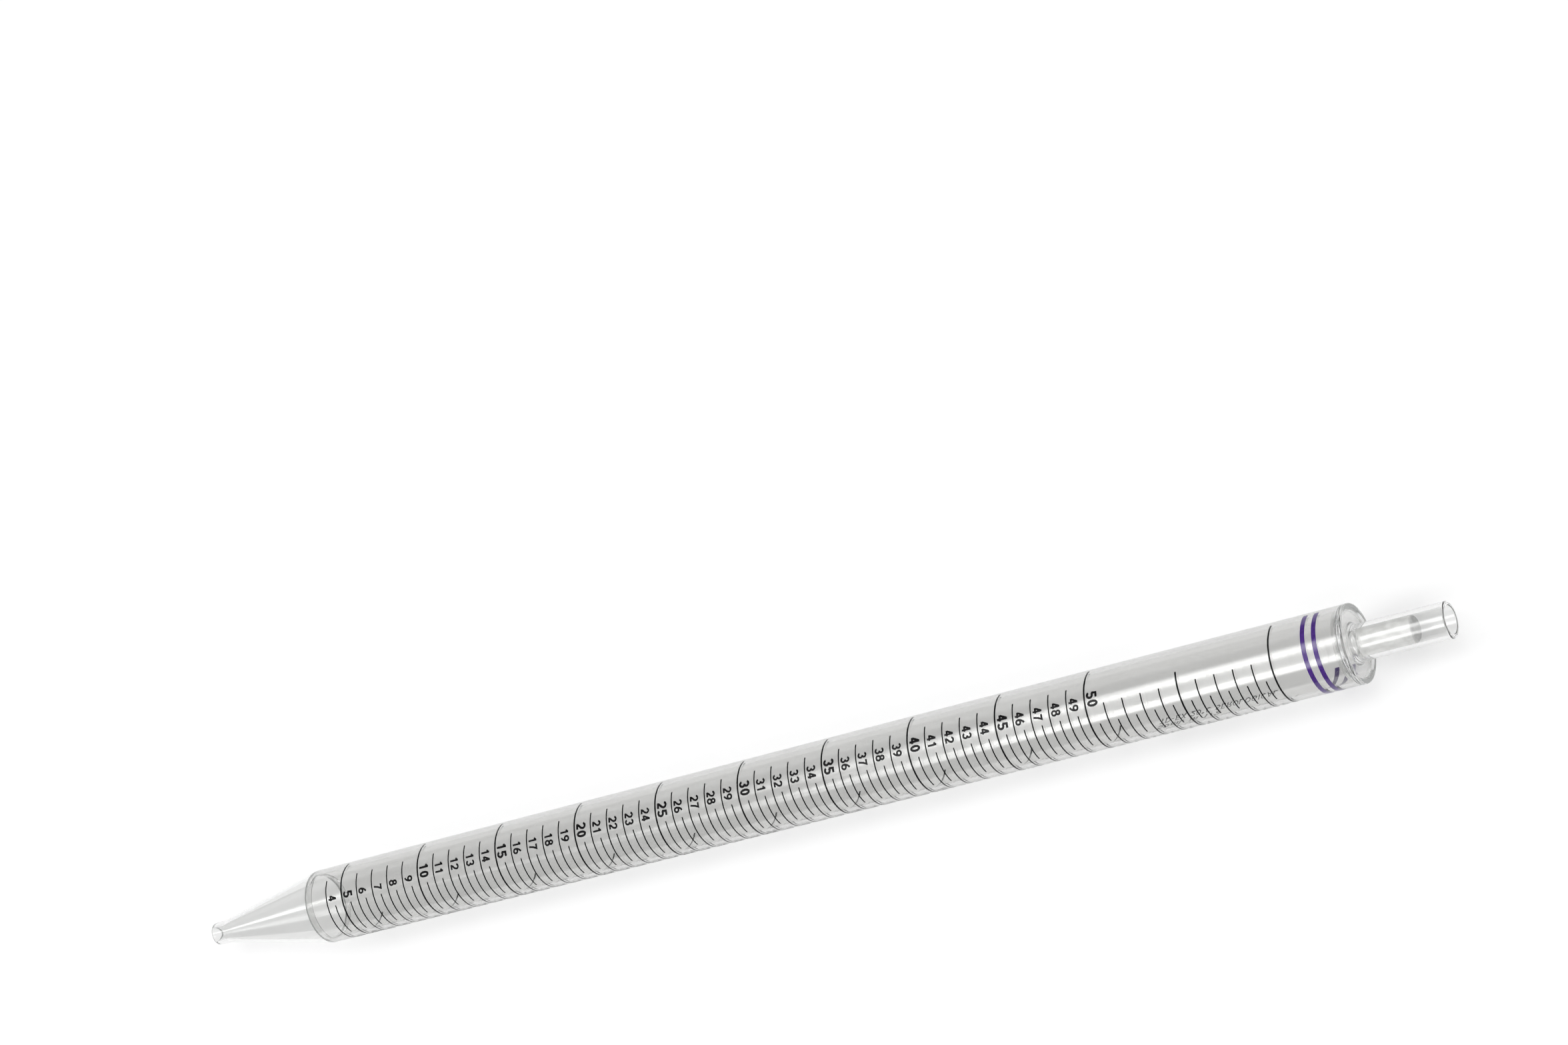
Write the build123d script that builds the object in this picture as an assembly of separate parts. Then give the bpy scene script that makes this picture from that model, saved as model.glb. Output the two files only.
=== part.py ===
from build123d import *
import math
import os

# A 50 mL serological pipette: a clear extruded tube with a moulded dropper tip
# welded into one end and a moulded mouthpiece welded into the other, a fibre
# filter plug pushed into the mouthpiece neck, and a scale printed on the tube.
#
# Every script length is in millimetres. Stations along the pipette (the names
# ending in _s) are measured from the open end of the tip. Angles round the
# pipette are in degrees from the top, positive towards +Y.

# ---- driving dimensions ----
capacity_ml = 50
tube_od = 18.5
tube_wall = 1.0
overall_length = 343.5

# moulded tip
nozzle_radius = 2.95
nozzle_length = 4.0
orifice_radius = 1.75
tube_start_s = 34.7
tip_spigot_length = 1.6

# moulded mouthpiece
tube_end_s = 319.7
flange_end_s = 321.1
flange_radius = 9.30
dish_depth = 0.6
dish_radius = 8.2
web_thickness = 1.5
stem_radius = 4.30
stem_bore_radius = 3.30
mouth_spigot_length = 1.3

# the spigots of both mouldings
spigot_clearance = 0.05
spigot_wall = 0.35
spigot_edge = 0.15

# filter plug
plug_start_s = 321.9
plug_length = 13.4
plug_clearance = 0.02

# printed scale
ink_thickness = 0.04
first_mark_ml = 4
first_mark_s = 41.3
last_mark_ml = 60
major_line_width = 0.42
unit_line_width = 0.32
half_line_width = 0.30
band_width = 1.1
lower_band_s = 311.1
upper_band_s = 313.85

# printed lettering: heights in millimetres, pen widths as a part of the height
numeral_gap = 0.60
bold_height, bold_pen = 2.65, 0.21
plain_height, plain_pen = 2.30, 0.20
far_bold_height, far_plain_height = 2.55, 2.20
ascending_edge_angle = -2
descending_edge_angle = -108
legend_gap = 1.2
capacity_height, capacity_pen, capacity_angle = 2.3, 0.19, -119
calibration_height, calibration_pen, calibration_angle = 2.0, 0.14, -137.5

# ---- worked out from the driving dimensions ----
tube_radius = tube_od / 2
bore_radius = tube_radius - tube_wall
bore_area = math.pi * bore_radius ** 2
mm_per_ml = 1000.0 / bore_area
spigot_radius = bore_radius - spigot_clearance
spigot_bore = spigot_radius - spigot_wall
axis_height = flange_radius
ink_radius = tube_radius + ink_thickness

# how far each kind of line runs round the tube, (first angle, last angle)
MAJOR_SPAN = (66, -152)
UNIT_SPAN = (33, -110)
HALF_SPAN = (-10, -63)
UPPER_UNIT_SPAN = (0, -110)
UPPER_MAJOR_SPAN = (17, -110)
UPPER_HALF_SPAN = (-28, -63)
TOP_LINE_SPAN = (60, -112)
BAND_SPAN = (64, -158)

os.makedirs("parts", exist_ok=True)


def save(name, solids):
    """Lay the pipette along X, tip at -X, resting on z = 0, and write the node."""
    items = solids if isinstance(solids, list) else [solids]
    place = Pos(-overall_length / 2, 0, axis_height)
    parts = [place * solid for item in items for solid in item.solids()]
    shape = parts[0] if len(parts) == 1 else Compound(children=parts)
    shape.label = name
    export_step(shape, f"parts/{name}.step")
    return shape


def turned(points, rounds=()):
    """Revolve an outline of (station, radius) points round the pipette's axis.

    rounds lists ((station, radius), fillet) for the outline corners to round off.
    """
    outline = make_face(Polyline(*points, close=True))
    for corner, size in rounds:
        vertex = outline.vertices().sort_by_distance(Vector(*corner))[0]
        outline = fillet(vertex, size)
    return revolve(outline, Axis.X)


def mark_station(volume_ml):
    """Station of the line that marks a volume."""
    return first_mark_s + (volume_ml - first_mark_ml) * mm_per_ml


# ---- the four pieces that come apart ----
def pipette_tip():
    """Nozzle, cone and the short spigot that enters the tube."""
    spigot_end = tube_start_s + tip_spigot_length
    outline = [
        (0, orifice_radius),
        (0, nozzle_radius - 0.2),
        (1.2, nozzle_radius - 0.03),
        (nozzle_length, nozzle_radius),
        (tube_start_s, tube_radius),
        (tube_start_s, spigot_radius),
        (spigot_end, spigot_radius),
        (spigot_end, spigot_radius - spigot_edge),
        (tube_start_s, spigot_bore),
        (nozzle_length, orifice_radius),
    ]
    rounds = [
        ((0, orifice_radius), 0.12),
        ((0, nozzle_radius - 0.2), 0.35),
        ((nozzle_length, nozzle_radius), 3.0),
        ((tube_start_s, tube_radius), 0.08),
        ((spigot_end, spigot_radius), 0.08),
    ]
    return turned(outline, rounds)


def body_tube():
    """The extruded tube that carries the scale."""
    edge = 0.08
    outline = [
        (tube_start_s, bore_radius),
        (tube_start_s, tube_radius),
        (tube_end_s, tube_radius),
        (tube_end_s, bore_radius),
    ]
    rounds = [((tube_start_s, tube_radius), edge), ((tube_end_s, tube_radius), edge)]
    return turned(outline, rounds)


def mouthpiece():
    """Flange with a shallow dished face, spigot, and the stem a controller grips."""
    spigot_start = tube_end_s - mouth_spigot_length
    dish_s = flange_end_s - dish_depth
    web_inside = dish_s - web_thickness
    outline = [
        (spigot_start, spigot_radius - spigot_edge),
        (spigot_start, spigot_radius),
        (tube_end_s, spigot_radius),
        (tube_end_s, flange_radius),
        (flange_end_s, flange_radius),
        (flange_end_s, dish_radius),
        (dish_s, dish_radius - 0.35),
        (dish_s, stem_radius),
        (overall_length, stem_radius),
        (overall_length, stem_bore_radius),
        (web_inside, stem_bore_radius),
        (web_inside, spigot_bore),
    ]
    rounds = [
        ((spigot_start, spigot_radius), 0.08),
        ((tube_end_s, flange_radius), 0.08),
        ((flange_end_s, flange_radius), 0.55),
        ((flange_end_s, dish_radius), 0.25),
        ((dish_s, stem_radius), 1.1),
        ((overall_length, stem_radius), 0.4),
        ((overall_length, stem_bore_radius), 0.3),
        ((web_inside, stem_bore_radius), 0.7),
        ((web_inside, spigot_bore), 0.5),
    ]
    return turned(outline, rounds)


def filter_plug():
    """White fibre rod that keeps liquid out of the pipette controller."""
    radius = stem_bore_radius - plug_clearance
    start, end = plug_start_s, plug_start_s + plug_length
    outline = [(start, 0), (start, radius), (end, radius), (end, 0)]
    return turned(outline, [((start, radius), 0.3), ((end, radius), 0.3)])


# ---- printed lines and bands ----
def ink_arc(station, width, span):
    """A printed line: a thin strip of ink round the tube, centred on a station."""
    first, last = span
    strip = Pos(station, tube_radius + ink_thickness / 2) * Rectangle(width, ink_thickness)
    return Rot(X=90 - first) * revolve(strip, Axis.X, first - last)


def major_lines():
    """The 5 mL lines."""
    lines = []
    for volume in range(5, last_mark_ml + 1, 5):
        span = MAJOR_SPAN
        if volume == last_mark_ml:
            span = TOP_LINE_SPAN
        elif volume > capacity_ml:
            span = UPPER_MAJOR_SPAN
        lines.append(ink_arc(mark_station(volume), major_line_width, span))
    return lines


def unit_lines():
    """The 1 mL lines between the 5 mL lines."""
    volumes = [v for v in range(first_mark_ml, last_mark_ml) if v % 5]
    lines = []
    for volume in volumes:
        span = UNIT_SPAN if volume < capacity_ml else UPPER_UNIT_SPAN
        lines.append(ink_arc(mark_station(volume), unit_line_width, span))
    return lines


def half_lines():
    """The short 0.5 mL lines."""
    lines = []
    for volume in range(first_mark_ml, last_mark_ml):
        span = HALF_SPAN if volume < capacity_ml else UPPER_HALF_SPAN
        lines.append(ink_arc(mark_station(volume + 0.5), half_line_width, span))
    return lines


def colour_band(start):
    """One of the two purple bands that tell the pipette's size at a glance."""
    return ink_arc(start + band_width / 2, band_width, BAND_SPAN)


# ---- lettering: each character is drawn one unit high with a pen ----
def pen_line(pen, *points):
    return trace(Polyline(*points) if len(points) > 2 else Line(*points), pen)


def pen_arc(pen, centre, radius, start, sweep):
    return trace(CenterArc(centre, radius, start, sweep), pen)


def pen_ring(pen, centre, radius):
    return Pos(*centre) * (Circle(radius + pen / 2) - Circle(radius - pen / 2))


def pen_oval(pen, width, height=1.0):
    middle = Pos(width / 2, height / 2)
    outer = middle * Ellipse(width / 2, height / 2)
    inner = middle * Ellipse(width / 2 - pen, height / 2 - pen)
    return outer - inner


def oval_arc(start, sweep):
    """Centre line of the open oval in C and G."""
    return EllipticalCenterArc((0.34, 0.5), 0.27, 0.43, start_angle=start, arc_size=sweep)


def six(pen):
    stem = ThreePointArc((0.07, 0.30), (0.15, 0.68), (0.46, 0.95))
    return pen_ring(pen, (0.30, 0.30), 0.23) + trace(stem, pen)


def nine(pen):
    stem = ThreePointArc((0.53, 0.70), (0.45, 0.32), (0.14, 0.05))
    return pen_ring(pen, (0.30, 0.70), 0.23) + trace(stem, pen)


def glyph(character, pen):
    """The sketch of one character and the width it takes up."""
    low, top = pen / 2, 1 - pen / 2
    shapes = {
        "0": lambda: pen_oval(pen, 0.60),
        "1": lambda: pen_line(pen, (0.12, 0.74), (0.36, 0.93))
        + pen_line(pen, (0.36, 0), (0.36, 1)),
        "2": lambda: pen_arc(pen, (0.30, 0.70), 0.23, 170, -205)
        + pen_line(pen, (0.488, 0.568), (0.10, 0.08))
        + pen_line(pen, (0.04, low), (0.57, low)),
        "3": lambda: pen_arc(pen, (0.29, 0.72), 0.21, 160, -250)
        + pen_arc(pen, (0.29, 0.30), 0.23, 90, -250),
        "4": lambda: pen_line(pen, (0.42, 0), (0.42, 1))
        + pen_line(pen, (0.39, 0.94), (0.08, 0.30))
        + pen_line(pen, (0.02, 0.28), (0.60, 0.28)),
        "5": lambda: pen_line(pen, (0.55, top), (0.15, top), (0.11, 0.50))
        + pen_arc(pen, (0.29, 0.31), 0.24, 138, -290),
        "6": lambda: six(pen),
        "7": lambda: pen_line(pen, (0.04, top), (0.54, top), (0.20, 0)),
        "8": lambda: pen_ring(pen, (0.30, 0.74), 0.19) + pen_ring(pen, (0.30, 0.30), 0.23),
        "9": lambda: nine(pen),
        "-": lambda: pen_line(pen, (0.06, 0.46), (0.42, 0.46)),
        "/": lambda: pen_line(pen, (0.05, 0), (0.45, 1)),
        "°": lambda: pen_ring(pen, (0.20, 0.86), 0.10),
        "m": lambda: pen_line(pen, (low, 0), (low, 0.66))
        + pen_arc(pen, (0.24, 0.44), 0.17, 180, -180)
        + pen_line(pen, (0.41, 0.44), (0.41, 0))
        + pen_arc(pen, (0.58, 0.44), 0.17, 180, -180)
        + pen_line(pen, (0.75, 0.44), (0.75, 0)),
        "n": lambda: pen_line(pen, (low, 0), (low, 0.66))
        + pen_arc(pen, (0.25, 0.43), 0.18, 180, -180)
        + pen_line(pen, (0.43, 0.43), (0.43, 0)),
        "i": lambda: pen_line(pen, (0.12, 0), (0.12, 0.62))
        + pen_line(pen, (0.12, 0.76), (0.12, 0.94)),
        "A": lambda: pen_line(pen, (0.05, 0), (0.31, 0.96))
        + pen_line(pen, (0.59, 0), (0.33, 0.96))
        + pen_line(pen, (0.14, 0.30), (0.50, 0.30)),
        "C": lambda: trace(oval_arc(45, 270), pen),
        "D": lambda: pen_line(pen, (0.40, top), (low, top), (low, low), (0.40, low))
        + trace(ThreePointArc((0.38, top), (0.55, 0.5), (0.38, low)), pen),
        "E": lambda: pen_line(pen, (0.52, top), (low, top), (low, low), (0.52, low))
        + pen_line(pen, (low, 0.52), (0.48, 0.52)),
        "G": lambda: trace(oval_arc(45, 285), pen)
        + pen_line(pen, (0.36, 0.46), (0.62, 0.46), (0.62, 0.12)),
        "I": lambda: pen_line(pen, (0.12, 0), (0.12, 1)),
        "L": lambda: pen_line(pen, (low, 1), (low, low), (0.50, low)),
        "O": lambda: pen_oval(pen, 0.72),
        "R": lambda: pen_line(pen, (low, 0), (low, top), (0.34, top))
        + pen_arc(pen, (0.34, 0.715), 0.215, 90, -180)
        + pen_line(pen, (0.36, 0.5), (low, 0.5))
        + pen_line(pen, (0.34, 0.5), (0.55, 0)),
        "S": lambda: pen_arc(pen, (0.30, 0.72), 0.21, 35, 215)
        + pen_arc(pen, (0.30, 0.28), 0.21, -145, 215)
        + pen_line(pen, (0.18, 0.57), (0.42, 0.43)),
        "T": lambda: pen_line(pen, (0.02, top), (0.58, top)) + pen_line(pen, (0.30, 1), (0.30, 0)),
        "X": lambda: pen_line(pen, (0.04, 0), (0.56, 1)) + pen_line(pen, (0.04, 1), (0.56, 0)),
    }
    widths = {"-": 0.48, "/": 0.50, "°": 0.40, "m": 0.84, "i": 0.24, "I": 0.24}
    widths.update({"n": 0.52, "O": 0.72, "C": 0.66, "G": 0.70, "A": 0.64, " ": 0.35})
    sketch = shapes[character]() if character in shapes else None
    return sketch, widths.get(character, 0.60)


glyph_cache = {}


def written(text, height, pen, spacing=0.14):
    """The characters of a text as placed sketches, and the text's whole width."""
    sketches = []
    reach = 0.0
    for character in text:
        key = (character, pen)
        if key not in glyph_cache:
            glyph_cache[key] = glyph(character, pen)
        sketch, width = glyph_cache[key]
        if sketch is not None:
            sketches.append((sketch, reach))
        reach += width + spacing
    placed = [(scale(sketch, height), start * height) for sketch, start in sketches]
    return placed, (reach - spacing) * height


def wrap(sketch, plane, station):
    """Print a flat character onto the tube: a curved film of ink."""
    film = turned([
        (station - 4, tube_radius),
        (station - 4, ink_radius),
        (station + 4, ink_radius),
        (station + 4, tube_radius),
    ])
    block = extrude(plane * sketch, 3.0)
    return (block & film).solids()


def numeral(text, volume, right_edge_angle, height, pen):
    """A number that stands on the mouthpiece side of its line, read round the tube."""
    placed, width = written(text, height, pen)
    base = mark_station(volume) + numeral_gap
    solids = []
    for sketch, start in placed:
        middle = start + 0.3 * height
        angle = right_edge_angle + math.degrees((width - middle) / tube_radius)
        turn = math.radians(angle)
        outward = Vector(0, math.sin(turn), math.cos(turn))
        reading = Vector(0, -math.cos(turn), math.sin(turn))
        origin = Vector(base, 0, 0) + outward * (tube_radius - 1.5) - reading * 0.3 * height
        plane = Plane(origin=origin, x_dir=reading, z_dir=outward)
        solids.extend(wrap(sketch, plane, base + height / 2))
    return solids


def ascending_numerals():
    """4 to 50, counting up from the tip."""
    solids = []
    for volume in range(first_mark_ml, capacity_ml + 1):
        bold = volume % 5 == 0
        height, pen = (bold_height, bold_pen) if bold else (plain_height, plain_pen)
        solids.extend(numeral(str(volume), volume, ascending_edge_angle, height, pen))
    return solids


def descending_numerals():
    """0 at the 50 mL line, counting up towards the tip and negative beyond it."""
    solids = []
    for volume in range(first_mark_ml, last_mark_ml):
        delivered = capacity_ml - volume
        bold = delivered % 5 == 0
        height, pen = (far_bold_height, bold_pen) if bold else (far_plain_height, plain_pen)
        solids.extend(numeral(str(delivered), volume, descending_edge_angle, height, pen))
    return solids


def legend_line(text, start, angle, height, pen):
    """A line of lettering that runs along the tube towards the mouthpiece."""
    placed, width = written(text, height, pen, spacing=0.12)
    turn = math.radians(angle)
    outward = Vector(0, math.sin(turn), math.cos(turn))
    upward = Vector(0, math.cos(turn), -math.sin(turn))
    solids = []
    for sketch, reach in placed:
        station = start + reach
        origin = Vector(station, 0, 0) + outward * (tube_radius - 1.5) - upward * height / 2
        plane = Plane(origin=origin, x_dir=Vector(1, 0, 0), z_dir=outward)
        solids.extend(wrap(sketch, plane, station + height / 2))
    return solids


def calibration_legend():
    """Capacity, graduation and calibration temperature, in plain lettering."""
    start = mark_station(capacity_ml + 2) + legend_gap
    capacity = legend_line(
        "50mL in 1/2", start, capacity_angle, capacity_height, capacity_pen
    )
    calibration = legend_line(
        "TD-EX 20°C SEROLOGICAL", start, calibration_angle, calibration_height, calibration_pen
    )
    return capacity + calibration


save("pipette_tip", pipette_tip())
save("body_tube", body_tube())
save("mouthpiece", mouthpiece())
save("filter_plug", filter_plug())
save("five_ml_lines", major_lines())
save("one_ml_lines", unit_lines())
save("half_ml_lines", half_lines())
save("ascending_numerals", ascending_numerals())
save("descending_numerals", descending_numerals())
save("lower_colour_band", colour_band(lower_band_s))
save("upper_colour_band", colour_band(upper_band_s))
save("calibration_legend", calibration_legend())
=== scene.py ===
import math

import bmesh
import bpy
from mathutils import Matrix, Vector


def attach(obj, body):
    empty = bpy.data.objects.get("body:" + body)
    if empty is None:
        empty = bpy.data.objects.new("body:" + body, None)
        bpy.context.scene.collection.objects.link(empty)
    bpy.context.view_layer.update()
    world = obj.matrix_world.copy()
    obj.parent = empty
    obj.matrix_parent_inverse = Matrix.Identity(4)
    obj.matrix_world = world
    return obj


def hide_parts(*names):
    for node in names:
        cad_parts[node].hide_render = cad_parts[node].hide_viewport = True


# The looks of a 50 mL pipette. The dimensions and conventions are the part's own:
# millimetres, stations along the pipette from the open end of the tip, and angles
# in degrees round its axis from the top, positive towards +Y.
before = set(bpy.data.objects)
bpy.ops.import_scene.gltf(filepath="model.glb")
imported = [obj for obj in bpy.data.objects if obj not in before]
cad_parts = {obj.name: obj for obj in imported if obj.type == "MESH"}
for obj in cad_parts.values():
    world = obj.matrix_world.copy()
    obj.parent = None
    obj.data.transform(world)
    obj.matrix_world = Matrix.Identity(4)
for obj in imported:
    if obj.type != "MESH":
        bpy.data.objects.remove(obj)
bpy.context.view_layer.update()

MM = 0.001
TINY = 1e-6
OVERALL = 343.5
AXIS_HEIGHT = 9.30

# tube
TUBE_R = 9.25
BORE_R = 8.25
TUBE_START = 34.7
TUBE_END = 319.7
SPIGOT_R = 8.2
SPIGOT_BORE = 7.85
SPIGOT_EDGE = 0.15
TIP_SPIGOT_LENGTH = 1.6
MOUTH_SPIGOT_LENGTH = 1.3

# tip
NOZZLE_R = 2.95
NOZZLE_END = 4.0
NOZZLE_EDGE = 0.2
ORIFICE_R = 1.75

# mouthpiece
FLANGE_END = 321.1
FLANGE_R = 9.30
DISH_S = 320.5
DISH_R = 8.2
WEB = 1.5
STEM_R = 4.30
STEM_BORE_R = 3.30

# filter plug: its ends dip at the axis, bulge a little and are cut off at the edge
PLUG_START = 321.9
PLUG_END = 335.3
PLUG_R = 3.27
PLUG_DIP = 0.15
PLUG_BULGE = 0.1
PLUG_EDGE = 0.3
PLUG_END_STEPS = 8
PLUG_SIDE_STEPS = 40

# scale
FIRST_MARK_ML = 4
FIRST_MARK = 41.3
CAPACITY_ML = 50
LAST_MARK_ML = 60
MM_PER_ML = 1000.0 / (math.pi * BORE_R**2)
MAJOR_LINE = 0.42
UNIT_LINE = 0.32
HALF_LINE = 0.30
BAND_WIDTH = 1.1
LOWER_BAND = 311.1
UPPER_BAND = 313.85
INK_LOW = TUBE_R + 0.003
INK_HIGH = TUBE_R + 0.034

# how far each kind of line runs round the tube, (first angle, last angle)
MAJOR_SPAN = (66, -152)
UNIT_SPAN = (33, -110)
HALF_SPAN = (-10, -63)
UPPER_MAJOR_SPAN = (17, -110)
UPPER_UNIT_SPAN = (0, -110)
UPPER_HALF_SPAN = (-28, -63)
TOP_LINE_SPAN = (60, -112)
BAND_SPAN = (64, -158)

# lettering: (height in millimetres, pen width as a part of the height)
BOLD = (2.65, 0.21)
PLAIN = (2.30, 0.20)
FAR_BOLD = (2.55, 0.21)
FAR_PLAIN = (2.20, 0.20)
NUMERAL_GAP = 0.60
NUMERAL_SPACING = 0.14
ASCENDING_EDGE = -2
DESCENDING_EDGE = -108

# legend: (text, angle of its middle, height, pen)
LEGEND_GAP = 1.2
LEGEND_SPACING = 0.12
LEGEND = (
    ("50mL in 1/2", -119, 2.3, 0.19),
    ("TD-EX 20°C SEROLOGICAL", -137.5, 2.0, 0.14),
)

# meshes: SUPPORT is how far from a round its flat neighbours get an extra ring,
# LINE_STEP is in degrees round the tube and BEND_STEP in millimetres
LATHE_SEGMENTS = 288
ROUND_STEPS = 8
SUPPORT = 0.12
NEAR = 0.002
LINE_STEP = 1.5
BEND_STEP = 0.3
SHARP_ANGLE = math.radians(35)

# materials
POLYSTYRENE_IOR = 1.59
ABSORPTION_COLOUR = (0.02, 0.02, 0.0, 1)
# slot of the milk-white material that paints light edges on weld faces and open ends
MILKY_PAINTED_LIGHT_SLOT = 1


# ---- mesh helpers ----
def at(station, radius, angle):
    """A point on the pipette, in metres, in the part's own frame."""
    turn = math.radians(angle)
    return Vector((
        (station - OVERALL / 2) * MM,
        radius * math.sin(turn) * MM,
        (AXIS_HEIGHT + radius * math.cos(turn)) * MM,
    ))


def place_on_pipette(point):
    """The (station, radius) of a point in metres, in millimetres."""
    radius = math.hypot(point.y / MM, point.z / MM - AXIS_HEIGHT)
    return point.x / MM + OVERALL / 2, radius


def mark_face(bm, station, low, high):
    """Give the flat face at a station, from one radius to another, the milk-white material,
    which paints a light edge there.
    """
    for face in bm.faces:
        spots = [place_on_pipette(vert.co) for vert in face.verts]
        if all(abs(s - station) < NEAR and low - NEAR < r < high + NEAR for s, r in spots):
            face.material_index = MILKY_PAINTED_LIGHT_SLOT


def add_piece(name, bm, node, slot, material, smooth=True):
    """Turn a bmesh into a piece that stands for a CAD node.

    Clear pieces cast no shadow, so that light reaches the floor under them.
    """
    bmesh.ops.recalc_face_normals(bm, faces=bm.faces)
    mesh = bpy.data.meshes.new(name)
    bm.to_mesh(mesh)
    bm.free()
    mesh.materials.append(material)
    # Moulded pieces get a second, milk-white material for faces with painted light edges.
    if slot == "clear_moulding":
        mesh.materials.append(MILKY_PAINTED_LIGHT)
    if smooth:
        mesh.shade_smooth()
        mesh.set_sharp_from_angle(angle=SHARP_ANGLE)
    piece = bpy.data.objects.new(name, mesh)
    bpy.context.scene.collection.objects.link(piece)
    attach(piece, "root")
    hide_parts(node)
    piece.visible_shadow = not slot.startswith("clear")


def corner_points(before, corner, after, radius):
    """Points of a rounded corner, with a support point on each side if there is room."""
    back = (before - corner).normalized()
    ahead = (after - corner).normalized()
    half = back.angle(ahead) / 2
    reach = radius / math.tan(half)
    bisector = (back + ahead).normalized()
    centre = corner + bisector * (radius / math.sin(half))
    start = corner + back * reach - centre
    sweep = (corner + ahead * reach - centre).angle_signed(start)
    points = []
    if (before - corner).length > reach + 2 * SUPPORT:
        points.append(corner + back * (reach + SUPPORT))
    for step in range(ROUND_STEPS + 1):
        turn = Matrix.Rotation(sweep * step / ROUND_STEPS, 2)
        points.append(centre + turn @ start)
    if (after - corner).length > reach + 2 * SUPPORT:
        points.append(corner + ahead * (reach + SUPPORT))
    return points


def rounded(outline):
    """An outline of (station, radius) or (station, radius, fillet) as plain points."""
    corners = [Vector(item[:2]) for item in outline]
    points = []
    for index, item in enumerate(outline):
        if len(item) == 2:
            points.append(corners[index])
            continue
        before = corners[index - 1]
        after = corners[(index + 1) % len(corners)]
        points.extend(corner_points(before, corners[index], after, item[2]))
    return points


def lathe(points, closed=True):
    """Revolve outline points round the axis. An open outline ends on the axis."""
    bm = bmesh.new()
    rings = []
    for point in points:
        if point.y < TINY:
            rings.append([bm.verts.new(at(point.x, 0, 0))])
            continue
        ring = [
            bm.verts.new(at(point.x, point.y, 360 * i / LATHE_SEGMENTS))
            for i in range(LATHE_SEGMENTS)
        ]
        rings.append(ring)
    pairs = list(zip(rings, rings[1:]))
    if closed:
        pairs.append((rings[-1], rings[0]))
    for ring_a, ring_b in pairs:
        bridge(bm, ring_a, ring_b)
    return bm


def bridge(bm, ring_a, ring_b):
    """Faces between two rings, either of which may be a single point."""
    for i in range(LATHE_SEGMENTS):
        j = (i + 1) % LATHE_SEGMENTS
        if len(ring_a) == 1:
            bm.faces.new((ring_a[0], ring_b[j], ring_b[i]))
        elif len(ring_b) == 1:
            bm.faces.new((ring_a[i], ring_a[j], ring_b[0]))
        else:
            bm.faces.new((ring_a[i], ring_a[j], ring_b[j], ring_b[i]))


# ---- materials ----
def new_material(name):
    """A new material, its node tree, its shader and the object's coordinates."""
    material = bpy.data.materials.new(name)
    material.use_nodes = True
    tree = material.node_tree
    shader = tree.nodes["Principled BSDF"]
    coordinates = tree.nodes.new("ShaderNodeTexCoord")
    return material, tree, shader, coordinates.outputs["Object"]


def noise(tree, source, stretch, scale, detail=3.0):
    """Noise over the object's own coordinates, stretched along the axes."""
    mapping = tree.nodes.new("ShaderNodeMapping")
    mapping.inputs["Scale"].default_value = stretch
    tree.links.new(source, mapping.inputs["Vector"])
    texture = tree.nodes.new("ShaderNodeTexNoise")
    texture.inputs["Scale"].default_value = scale
    texture.inputs["Detail"].default_value = detail
    tree.links.new(mapping.outputs["Vector"], texture.inputs["Vector"])
    return texture.outputs["Fac"]


def spread(tree, value, low, high):
    """Map a noise, which mostly lies from 0.3 to 0.7, onto a range."""
    ranged = tree.nodes.new("ShaderNodeMapRange")
    ranged.inputs["From Min"].default_value = 0.3
    ranged.inputs["From Max"].default_value = 0.7
    ranged.inputs["To Min"].default_value = low
    ranged.inputs["To Max"].default_value = high
    tree.links.new(value, ranged.inputs["Value"])
    return ranged.outputs["Result"]


def tint(tree, value, low, high):
    """Blend two colours by a noise, fully from 0.35 to 0.65."""
    ramp = tree.nodes.new("ShaderNodeValToRGB")
    ramp.color_ramp.elements[0].position = 0.35
    ramp.color_ramp.elements[0].color = (*low, 1)
    ramp.color_ramp.elements[1].position = 0.65
    ramp.color_ramp.elements[1].color = (*high, 1)
    tree.links.new(value, ramp.inputs["Fac"])
    return ramp.outputs["Color"]


def bump(tree, shader, height, strength, distance):
    """Bump a shader's normal by a height of up to a distance in metres."""
    node = tree.nodes.new("ShaderNodeBump")
    node.inputs["Strength"].default_value = strength
    node.inputs["Distance"].default_value = distance
    tree.links.new(height, node.inputs["Height"])
    tree.links.new(node.outputs["Normal"], shader.inputs["Normal"])


def clear_plastic(name, colour, stretch, strength, density=0.0):
    """Clear polystyrene: fine flow or draw lines and a slightly uneven gloss.

    density is how much of the light it takes up, per metre of plastic.
    """
    material, tree, shader, source = new_material(name)
    shader.inputs["Base Color"].default_value = (*colour, 1)
    shader.inputs["Transmission Weight"].default_value = 1.0
    shader.inputs["IOR"].default_value = POLYSTYRENE_IOR
    lines = noise(tree, source, stretch, 1.0)
    tree.links.new(spread(tree, lines, 0.018, 0.040), shader.inputs["Roughness"])
    bump(tree, shader, lines, strength, 0.00003)
    if density:
        absorption = tree.nodes.new("ShaderNodeVolumeAbsorption")
        absorption.inputs["Color"].default_value = ABSORPTION_COLOUR
        absorption.inputs["Density"].default_value = density
        output = tree.nodes["Material Output"]
        tree.links.new(absorption.outputs["Volume"], output.inputs["Volume"])
    return material


def milky():
    """Matt white for a weld face or an open end: partly the face's own matt skin, partly
    painted light that stands in for the light edges of clear plastic there.
    """
    material, tree, shader, source = new_material("milky_painted_light_edge")
    shader.inputs["Base Color"].default_value = (0.86, 0.87, 0.865, 1)
    shader.inputs["Transmission Weight"].default_value = 0.45
    shader.inputs["IOR"].default_value = 1.30
    grain = noise(tree, source, (1, 1, 1), 2600.0)
    tree.links.new(spread(tree, grain, 0.35, 0.60), shader.inputs["Roughness"])
    return material


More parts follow.
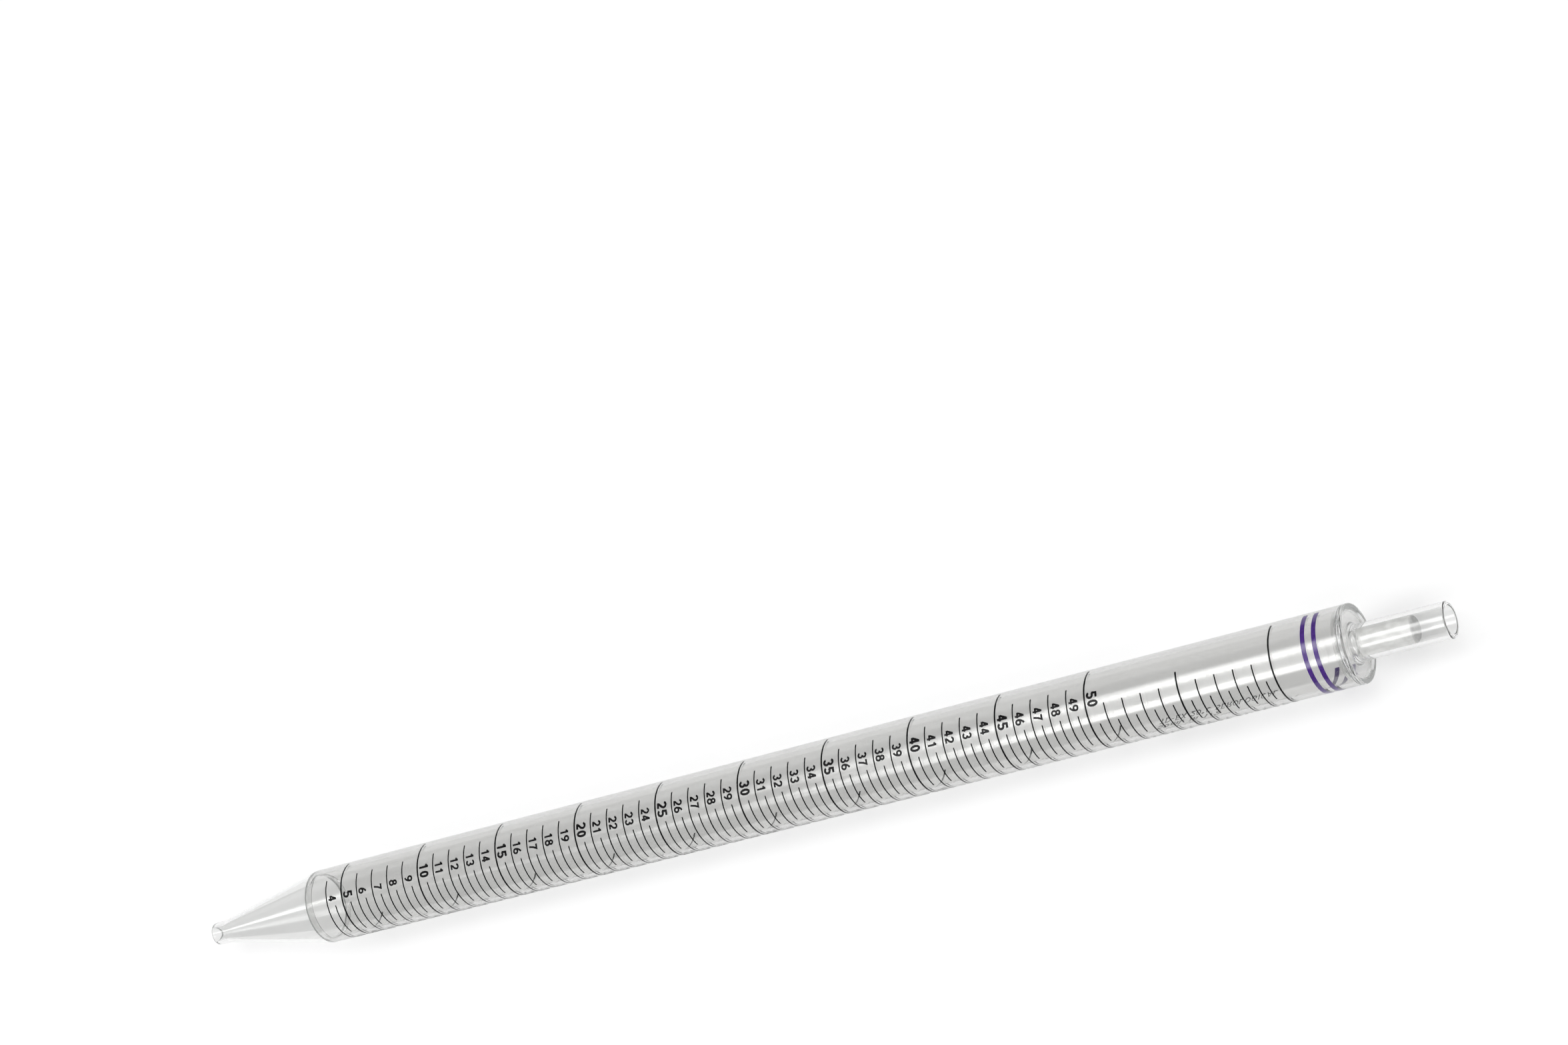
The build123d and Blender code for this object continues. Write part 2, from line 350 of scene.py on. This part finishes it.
def ink(name, dark, light, gloss):
    """Screen-printed ink, smooth, with a little unevenness in its density."""
    material, tree, shader, source = new_material(name)
    density = noise(tree, source, (1, 1, 1), 1800.0)
    tree.links.new(tint(tree, density, dark, light), shader.inputs["Base Color"])
    tree.links.new(spread(tree, density, 0.06, 0.13), shader.inputs["Roughness"])
    shader.inputs["Specular IOR Level"].default_value = gloss
    grain = noise(tree, source, (1, 1, 1), 5200.0)
    bump(tree, shader, grain, 0.35, 0.00002)
    return material


def fibre():
    """Bonded white fibre: strands that run mostly along the plug. Its colour is greyer than
    white fibre: painted shade for the stem round it, with tufts that vary the tone at random.
    """
    material, tree, shader, source = new_material("filter_fibre")
    strands = noise(tree, source, (0.22, 1, 1), 5200.0, 8.0)
    tufts = noise(tree, source, (0.5, 1, 1), 900.0, 5.0)
    mixed = tree.nodes.new("ShaderNodeMath")
    mixed.operation = "MULTIPLY"
    tree.links.new(strands, mixed.inputs[0])
    tree.links.new(tufts, mixed.inputs[1])
    pile = spread(tree, mixed.outputs["Value"], 0.0, 1.0)
    # Grey from 0.60 to 0.80: painted shade from the stem round the plug, spread at random by
    # the tufts.
    tree.links.new(
        tint(tree, tufts, (0.60, 0.60, 0.59), (0.80, 0.80, 0.79)),
        shader.inputs["Base Color"],
    )
    shader.inputs["Roughness"].default_value = 0.95
    shader.inputs["Sheen Weight"].default_value = 0.4
    shader.inputs["Sheen Roughness"].default_value = 0.6
    bump(tree, shader, pile, 0.8, 0.00025)
    return material


TUBE_CLEAR = clear_plastic("clear_tube", (0.95, 0.95, 0.945), (1.2, 420, 420), 0.35, 150.0)
MOULDED_CLEAR = clear_plastic("clear_moulding", (0.87, 0.872, 0.868), (40, 160, 160), 0.25)
MILKY_PAINTED_LIGHT = milky()
BLACK_INK = ink("black_ink", (0.003, 0.003, 0.003), (0.009, 0.009, 0.010), 0.14)
PURPLE_INK = ink("purple_ink", (0.040, 0.010, 0.140), (0.060, 0.018, 0.190), 0.60)
FIBRE = fibre()


# ---- clear pieces and the plug ----
def build_tube():
    """The extruded tube, with sharp cut ends."""
    outline = [
        (TUBE_START, BORE_R),
        (TUBE_START, TUBE_R),
        (TUBE_END, TUBE_R),
        (TUBE_END, BORE_R),
    ]
    bm = lathe(rounded(outline))
    add_piece("tube_clear", bm, "body_tube", "clear_tube", TUBE_CLEAR)


def build_tip():
    """Nozzle, cone and spigot. The weld face and the open end are milk-white: partly matt
    faces, partly painted light edges.
    """
    spigot_end = TUBE_START + TIP_SPIGOT_LENGTH
    outline = [
        (0, ORIFICE_R, 0.12),
        (0, NOZZLE_R - NOZZLE_EDGE, 0.35),
        (1.2, NOZZLE_R - 0.03),
        (NOZZLE_END, NOZZLE_R, 3.0),
        (TUBE_START, TUBE_R),
        (TUBE_START, SPIGOT_R),
        (spigot_end, SPIGOT_R),
        (spigot_end, SPIGOT_R - SPIGOT_EDGE),
        (TUBE_START, SPIGOT_BORE),
        (NOZZLE_END, ORIFICE_R),
    ]
    bm = lathe(rounded(outline))
    mark_face(bm, TUBE_START, SPIGOT_R, TUBE_R)
    mark_face(bm, 0, ORIFICE_R, NOZZLE_R)
    add_piece("tip_clear", bm, "pipette_tip", "clear_moulding", MOULDED_CLEAR)


def build_mouthpiece():
    """Spigot, dished flange and stem. The weld face and the open end are milk-white: partly
    matt faces, partly painted light edges.
    """
    spigot_start = TUBE_END - MOUTH_SPIGOT_LENGTH
    web_inside = DISH_S - WEB
    outline = [
        (spigot_start, SPIGOT_R - SPIGOT_EDGE),
        (spigot_start, SPIGOT_R),
        (TUBE_END, SPIGOT_R),
        (TUBE_END, TUBE_R),
        (TUBE_END, FLANGE_R),
        (FLANGE_END, FLANGE_R, 0.55),
        (FLANGE_END, DISH_R, 0.25),
        (DISH_S, DISH_R - 0.35),
        (DISH_S, STEM_R, 1.1),
        (OVERALL, STEM_R, 0.4),
        (OVERALL, STEM_BORE_R, 0.3),
        (web_inside, STEM_BORE_R, 0.7),
        (web_inside, SPIGOT_BORE, 0.5),
    ]
    bm = lathe(rounded(outline))
    mark_face(bm, TUBE_END, SPIGOT_R, TUBE_R)
    mark_face(bm, OVERALL, STEM_BORE_R, STEM_R)
    add_piece("mouthpiece_clear", bm, "mouthpiece", "clear_moulding", MOULDED_CLEAR)


def plug_end(station, inward):
    """Outline points of one end of the plug, from the axis outwards."""
    points = [Vector((station + inward * PLUG_DIP, 0.0))]
    for step in range(1, PLUG_END_STEPS + 1):
        radius = (PLUG_R - PLUG_EDGE) * step / PLUG_END_STEPS
        drop = PLUG_BULGE * (radius / PLUG_R) ** 4
        points.append(Vector((station + inward * drop, radius)))
    return points


def build_plug():
    """The rod of fibre in the stem."""
    side = PLUG_END - PLUG_START - 2 * PLUG_EDGE
    outline = plug_end(PLUG_START, 1)
    for step in range(PLUG_SIDE_STEPS + 1):
        station = PLUG_START + PLUG_EDGE + side * step / PLUG_SIDE_STEPS
        outline.append(Vector((station, PLUG_R)))
    outline += reversed(plug_end(PLUG_END, -1))
    bm = lathe(outline, closed=False)
    add_piece("plug_fibre", bm, "filter_plug", "filter_fibre", FIBRE)


# ---- printed lines ----
def mark(volume_ml):
    """Station of the line that marks a volume."""
    return FIRST_MARK + (volume_ml - FIRST_MARK_ML) * MM_PER_ML


def add_line(bm, station, width, span):
    """A curved strip of ink round the tube from one angle to another."""
    first, last = span
    steps = max(2, round(abs(first - last) / LINE_STEP))
    corners = [
        (station - width / 2, INK_LOW),
        (station + width / 2, INK_LOW),
        (station + width / 2, INK_HIGH),
        (station - width / 2, INK_HIGH),
    ]
    rings = []
    for step in range(steps + 1):
        angle = first + (last - first) * step / steps
        rings.append([bm.verts.new(at(s, r, angle)) for s, r in corners])
    for ring_a, ring_b in zip(rings, rings[1:]):
        for i in range(4):
            j = (i + 1) % 4
            bm.faces.new((ring_a[i], ring_a[j], ring_b[j], ring_b[i]))
    bm.faces.new(rings[0][::-1])
    bm.faces.new(rings[-1])


def build_lines():
    """The 5 mL, 1 mL and 0.5 mL lines. Above the capacity they are shorter."""
    fives, units, halves = bmesh.new(), bmesh.new(), bmesh.new()
    for volume in range(FIRST_MARK_ML, LAST_MARK_ML):
        if volume % 5 == 0:
            span = MAJOR_SPAN if volume <= CAPACITY_ML else UPPER_MAJOR_SPAN
            add_line(fives, mark(volume), MAJOR_LINE, span)
        else:
            span = UNIT_SPAN if volume < CAPACITY_ML else UPPER_UNIT_SPAN
            add_line(units, mark(volume), UNIT_LINE, span)
        span = HALF_SPAN if volume < CAPACITY_ML else UPPER_HALF_SPAN
        add_line(halves, mark(volume + 0.5), HALF_LINE, span)
    add_line(fives, mark(LAST_MARK_ML), MAJOR_LINE, TOP_LINE_SPAN)
    add_piece("lines_5_ml", fives, "five_ml_lines", "black_ink", BLACK_INK)
    add_piece("lines_1_ml", units, "one_ml_lines", "black_ink", BLACK_INK)
    add_piece("lines_half_ml", halves, "half_ml_lines", "black_ink", BLACK_INK)


def build_bands():
    """The two purple bands that tell the pipette's size at a glance."""
    for name, node, start in (
        ("band_lower", "lower_colour_band", LOWER_BAND),
        ("band_upper", "upper_colour_band", UPPER_BAND),
    ):
        bm = bmesh.new()
        add_line(bm, start + BAND_WIDTH / 2, BAND_WIDTH, BAND_SPAN)
        add_piece(name, bm, node, "purple_ink", PURPLE_INK)


# ---- lettering: characters drawn one unit high with a pen ----
USUAL_WIDTH = 0.60
WIDTHS = {
    "-": 0.48,
    "/": 0.50,
    "°": 0.40,
    "m": 0.84,
    "n": 0.52,
    "i": 0.24,
    "I": 0.24,
    "O": 0.72,
    "C": 0.66,
    "G": 0.70,
    "A": 0.64,
    " ": 0.35,
}


def arc(x, y, radius, start, sweep, tall=None):
    """Points of an arc, or of an ellipse's arc if tall gives its half height."""
    tall = radius if tall is None else tall
    steps = max(4, round(abs(sweep) / 9))
    points = []
    for step in range(steps + 1):
        turn = math.radians(start + sweep * step / steps)
        points.append((x + radius * math.cos(turn), y + tall * math.sin(turn)))
    return points


def figure_strokes(pen):
    """The centre lines of the strokes of the digits and signs.

    A closed stroke repeats its first point.
    """
    low, top = pen / 2, 1 - pen / 2
    ring = 0.5 - pen / 2
    return {
        "0": [arc(0.30, 0.5, 0.30 - pen / 2, 90, 360, ring)],
        "1": [[(0.12, 0.72), (0.25, 0.80), (0.36, 0.96)], [(0.36, 0), (0.36, 1)]],
        "2": [
            arc(0.30, 0.70, 0.23, 170, -180) + [(0.46, 0.50), (0.20, 0.24), (0.10, 0.10)],
            [(0.04, low), (0.57, low)],
        ],
        "3": [arc(0.29, 0.72, 0.21, 160, -250), arc(0.29, 0.30, 0.23, 90, -250)],
        "4": [
            [(0.42, 0), (0.42, 1)],
            [(0.39, 0.94), (0.08, 0.30)],
            [(0.02, 0.28), (0.60, 0.28)],
        ],
        "5": [
            [(0.55, top), (0.15, top), (0.11, 0.48)],
            arc(0.29, 0.31, 0.24, 138, -290),
        ],
        "6": [
            arc(0.30, 0.30, 0.23, 90, 360),
            arc(0.60, 0.30, 0.53, 180, -72, 0.66),
        ],
        "7": [[(0.04, top), (0.54, top), (0.36, 0.52), (0.24, 0)]],
        "8": [arc(0.30, 0.74, 0.19, 90, 360), arc(0.30, 0.30, 0.23, 90, 360)],
        "9": [
            arc(0.30, 0.70, 0.23, 90, 360),
            arc(0.00, 0.70, 0.53, 0, -72, 0.66),
        ],
        "-": [[(0.06, 0.46), (0.42, 0.46)]],
        "/": [[(0.05, 0), (0.45, 1)]],
        "°": [arc(0.20, 0.86, 0.10, 90, 360)],
    }


def letter_strokes(pen):
    """The centre lines of the strokes of the letters in the legend."""
    low, top = pen / 2, 1 - pen / 2
    ring = 0.5 - pen / 2
    return {
        "m": [
            [(low, 0), (low, 0.66)],
            arc(0.24, 0.44, 0.17, 180, -180) + [(0.41, 0)],
            arc(0.58, 0.44, 0.17, 180, -180) + [(0.75, 0)],
        ],
        "n": [[(low, 0), (low, 0.66)], arc(0.25, 0.43, 0.18, 180, -180) + [(0.43, 0)]],
        "i": [[(0.12, 0), (0.12, 0.62)], [(0.12, 0.76), (0.12, 0.94)]],
        "A": [[(0.05, 0), (0.31, 0.96)], [(0.59, 0), (0.33, 0.96)], [(0.14, 0.3), (0.5, 0.3)]],
        "C": [arc(0.34, 0.5, 0.27, 45, 270, 0.43)],
        "D": [
            [(0.34, top), (low, top), (low, low), (0.34, low)],
            arc(0.32, 0.5, 0.25, 90, -180, ring),
        ],
        "E": [[(0.52, top), (low, top), (low, low), (0.52, low)], [(low, 0.52), (0.48, 0.52)]],
        "G": [
            arc(0.34, 0.5, 0.27, 45, 285, 0.43),
            [(0.36, 0.46), (0.60, 0.46), (0.60, 0.08)],
        ],
        "I": [[(0.12, 0), (0.12, 1)]],
        "L": [[(low, 1), (low, low), (0.50, low)]],
        "O": [arc(0.36, 0.5, 0.36 - pen / 2, 90, 360, ring)],
        "R": [
            [(low, 0), (low, top), (0.34, top)],
            arc(0.34, 0.5 + (top - 0.5) / 2, (top - 0.5) / 2, 90, -180) + [(low, 0.5)],
            [(0.34, 0.5), (0.56, 0)],
        ],
        "S": [
            arc(0.30, 0.72, 0.21, 35, 215)
            + arc(0.30, 0.28, 0.21, 70, -215),
        ],
        "T": [[(0.02, top), (0.58, top)], [(0.30, 1), (0.30, 0)]],
        "X": [[(0.04, 0), (0.56, 1)], [(0.04, 1), (0.56, 0)]],
    }


def strokes_of(character, pen):
    """The strokes of a character, and the width it takes up."""
    table = {**figure_strokes(pen), **letter_strokes(pen)}
    return table.get(character, []), WIDTHS.get(character, USUAL_WIDTH)


def half_pen_at(path, index, closed, pen):
    """From a point of a path to the edge of its stroke, mitred where the path turns."""
    ways = []
    if closed or index > 0:
        ways.append((path[index] - path[index - 1]).normalized())
    if closed or index < len(path) - 1:
        ways.append((path[(index + 1) % len(path)] - path[index]).normalized())
    along = sum(ways, Vector((0, 0))).normalized()
    half = pen / 2 / max(0.5, along.dot(ways[0]))
    return Vector((-along.y, along.x)) * half


def stroke_solid(points, pen):
    """A flat closed strip, from height 0 to 1, that follows a stroke."""
    closed = math.dist(points[0], points[-1]) < TINY
    path = [Vector(p) for p in (points[:-1] if closed else points)]
    bm = bmesh.new()
    rings = []
    for index, point in enumerate(path):
        side = half_pen_at(path, index, closed, pen)
        ring = []
        for edge, level in ((side, 0), (side, 1), (-side, 1), (-side, 0)):
            spot = point + edge
            ring.append(bm.verts.new((spot.x, spot.y, level)))
        rings.append(ring)
    pairs = list(zip(rings, rings[1:]))
    if closed:
        pairs.append((rings[-1], rings[0]))
    else:
        bm.faces.new(rings[0])
        bm.faces.new(rings[-1][::-1])
    for ring_a, ring_b in pairs:
        for i in range(4):
            j = (i + 1) % 4
            bm.faces.new((ring_a[i], ring_b[i], ring_b[j], ring_a[j]))
    bmesh.ops.recalc_face_normals(bm, faces=bm.faces)
    return bm


def joined(strokes, pen):
    """One closed flat mesh of a character: its strokes united."""
    objects = []
    for points in strokes:
        bm = stroke_solid(points, pen)
        mesh = bpy.data.meshes.new("stroke")
        bm.to_mesh(mesh)
        bm.free()
        stroke = bpy.data.objects.new("stroke", mesh)
        bpy.context.scene.collection.objects.link(stroke)
        objects.append(stroke)
    first = objects[0]
    for other in objects[1:]:
        union = first.modifiers.new("union", "BOOLEAN")
        union.operation = "UNION"
        union.solver = "EXACT"
        union.object = other
    depsgraph = bpy.context.evaluated_depsgraph_get()
    result = bpy.data.meshes.new_from_object(first.evaluated_get(depsgraph))
    for item in objects:
        mesh = item.data
        bpy.data.objects.remove(item)
        bpy.data.meshes.remove(mesh)
    return result


glyphs = {}


def glyph(character, pen):
    """A character's mesh and width, made once for each pen."""
    key = (character, pen)
    if key not in glyphs:
        strokes, width = strokes_of(character, pen)
        glyphs[key] = (joined(strokes, pen) if strokes else None, width)
    return glyphs[key]


def cut_for_bending(bm, axis, spacing):
    """Extra edges across a flat character, so that it can follow the tube."""
    normal = Vector((1, 0, 0)) if axis == 0 else Vector((0, 1, 0))
    low = min(v.co[axis] for v in bm.verts)
    high = max(v.co[axis] for v in bm.verts)
    place = low + spacing
    while place < high:
        geometry = bm.verts[:] + bm.edges[:] + bm.faces[:]
        bmesh.ops.bisect_plane(bm, geom=geometry, plane_co=normal * place, plane_no=normal)
        place += spacing


def print_text(target, text, height, pen, spacing, place):
    """Wrap a text onto the tube.

    place(u, v, whole) turns a point of the flat text, which is whole millimetres
    long, into a station and an arc length from the top of the tube.
    """
    reach = 0.0
    spots = []
    for character in text:
        mesh, width = glyph(character, pen)
        spots.append((mesh, reach))
        reach += width + spacing
    whole = (reach - spacing) * height
    along_tube = place(1, 0, whole)[1] == place(0, 0, whole)[1]
    for mesh, start in spots:
        if mesh is None:
            continue
        bm = bmesh.new()
        bm.from_mesh(mesh)
        cut_for_bending(bm, 1 if along_tube else 0, BEND_STEP / height)
        for vert in bm.verts:
            u, v, level = vert.co
            station, arc_length = place((start + u) * height, v * height, whole)
            radius = INK_LOW + (INK_HIGH - INK_LOW) * level
            vert.co = at(station, radius, math.degrees(arc_length / TUBE_R))
        piece = bpy.data.meshes.new("character")
        bm.to_mesh(piece)
        bm.free()
        target.from_mesh(piece)
        bpy.data.meshes.remove(piece)


def numeral(target, text, volume, right_edge, style):
    """A number on the mouthpiece side of its line, read round the tube."""
    base = mark(volume) + NUMERAL_GAP
    edge = math.radians(right_edge) * TUBE_R
    print_text(
        target, text, *style, NUMERAL_SPACING,
        lambda u, v, whole: (base + v, edge + whole - u),
    )


def build_numerals():
    """The volume drawn up on the near side, and the volume let out on the far side."""
    ascending, descending = bmesh.new(), bmesh.new()
    for volume in range(FIRST_MARK_ML, CAPACITY_ML + 1):
        style = BOLD if volume % 5 == 0 else PLAIN
        numeral(ascending, str(volume), volume, ASCENDING_EDGE, style)
    for volume in range(FIRST_MARK_ML, LAST_MARK_ML):
        delivered = CAPACITY_ML - volume
        style = FAR_BOLD if delivered % 5 == 0 else FAR_PLAIN
        numeral(descending, str(delivered), volume, DESCENDING_EDGE, style)
    add_piece(
        "numerals_up", ascending, "ascending_numerals", "black_ink", BLACK_INK, smooth=False
    )
    add_piece(
        "numerals_down", descending, "descending_numerals", "black_ink", BLACK_INK, smooth=False
    )


def build_legend():
    """The calibration notes, which read along the tube from above the 52 mL line."""
    bm = bmesh.new()
    start = mark(52) + LEGEND_GAP
    for text, angle, height, pen in LEGEND:
        middle = math.radians(angle) * TUBE_R
        print_text(
            bm, text, height, pen, LEGEND_SPACING,
            lambda u, v, whole: (start + u, middle + v - height / 2),
        )
    add_piece("legend", bm, "calibration_legend", "black_ink", BLACK_INK, smooth=False)


# ---- studio ----
def build_floor():
    """A wide matt floor that glows a little, like a light table."""
    mesh = bpy.data.meshes.new("floor")
    reach = 4.0
    mesh.from_pydata(
        [(-reach, -reach, 0), (reach, -reach, 0), (reach, reach, 0), (-reach, reach, 0)],
        [],
        [(0, 1, 2, 3)],
    )
    floor = bpy.data.objects.new("floor", mesh)
    bpy.context.scene.collection.objects.link(floor)
    material, tree, shader, source = new_material("floor_paint")
    shader.inputs["Base Color"].default_value = (0.50, 0.50, 0.50, 1)
    shader.inputs["Roughness"].default_value = 0.8
    shader.inputs["Specular IOR Level"].default_value = 0.2
    shader.inputs["Emission Color"].default_value = (1, 1, 1, 1)
    shader.inputs["Emission Strength"].default_value = 0.42
    mesh.materials.append(material)


def softbox(name, place, size, power):
    """A rectangular lamp that looks straight down, its long side along X."""
    lamp = bpy.data.lights.new(name, "AREA")
    lamp.shape = "RECTANGLE"
    lamp.size, lamp.size_y = size
    lamp.energy = power
    item = bpy.data.objects.new(name, lamp)
    bpy.context.scene.collection.objects.link(item)
    item.location = place


def soft_edged(name, place, size, power):
    """Stacked lamps of growing size, so that their reflection fades at its edges."""
    layers = 4
    for layer in range(layers):
        grown = 0.55 + 0.9 * layer / (layers - 1)
        spot = (place[0], place[1], place[2] - 0.002 * layer)
        wide = (size[0] + 0.18 * layer, size[1] * grown)
        softbox(f"{name}_{layer + 1}", spot, wide, power * grown / layers)


def build_light():
    """A pale surround, a broad lamp overhead and three soft streaks on the tube."""
    world = bpy.data.worlds.new("studio")
    bpy.context.scene.world = world
    world.use_nodes = True
    background = world.node_tree.nodes["Background"]
    background.inputs["Color"].default_value = (1.0, 1.0, 1.0, 1)
    background.inputs["Strength"].default_value = 0.28
    softbox("overhead_light", (0.0, 0.0, 2.4), (2.6, 2.6), 22.0)
    soft_edged("near_light", (-0.10, -0.66, 1.0), (0.85, 0.42), 6.6)
    soft_edged("far_light", (0.04, 0.32, 1.0), (0.85, 0.46), 5.4)
    soft_edged("left_light", (-1.35, 0.14, 1.0), (0.70, 0.20), 2.2)


def build_camera():
    """A long lens that looks down on the pipette from its mouthpiece's end."""
    lens = bpy.data.cameras.new("camera")
    lens.sensor_width = 36.0
    lens.lens = 107.86
    lens.clip_start = 0.01
    lens.clip_end = 50
    camera = bpy.data.objects.new("camera", lens)
    bpy.context.scene.collection.objects.link(camera)
    right = Vector((0.84762626, -0.18075923, -0.49885452))
    up = Vector((0.24310314, 0.96799673, 0.06231529))
    back = Vector((0.47162548, -0.17409318, 0.86444258))
    turn = Matrix((right, up, back)).transposed().to_4x4()
    place = Matrix.Translation(Vector((0.54056, -0.13295, 0.97866)))
    camera.matrix_world = place @ turn
    bpy.context.scene.camera = camera


build_tip()
build_tube()
build_mouthpiece()
build_plug()
build_lines()
build_bands()
build_numerals()
build_legend()
build_floor()
build_light()
build_camera()

# Light crosses many faces of clear plastic before it gets out.
scene = bpy.context.scene
scene.view_settings.view_transform = "Standard"
scene.cycles.max_bounces = 24
scene.cycles.glossy_bounces = 24
scene.cycles.transmission_bounces = 24
